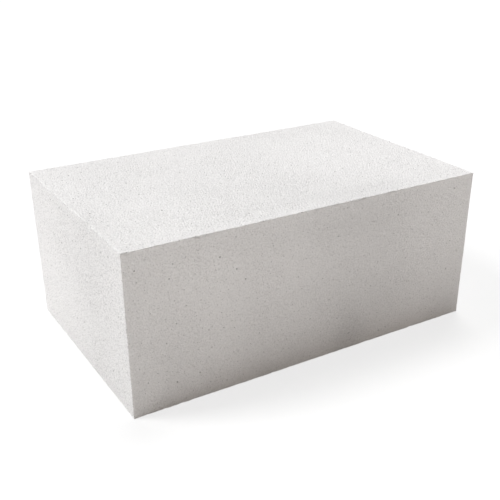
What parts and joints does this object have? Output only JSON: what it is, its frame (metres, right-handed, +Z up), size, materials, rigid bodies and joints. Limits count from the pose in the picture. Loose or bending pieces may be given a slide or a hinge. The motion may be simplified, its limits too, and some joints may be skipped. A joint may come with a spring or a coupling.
{
  "type": "aerated concrete block",
  "caption": "Solid rectangular wall block of white autoclaved aerated concrete, wire-cut flat on all faces with plain ends, for thin-joint masonry.",
  "frame": {"origin": "centre of the lower bed face, which the block rests on", "axes": "+X along the wall (the block's length), +Y through the wall (its thickness), +Z up across the courses (its height)"},
  "size_m": [0.6, 0.375, 0.249],
  "materials": {
    "aerated_concrete": "matt white aerated concrete, wire-cut, with fine open pores"
  },
  "bodies": {
    "root": {"aerated_block": "aerated_concrete"}
  },
  "joints": []
}
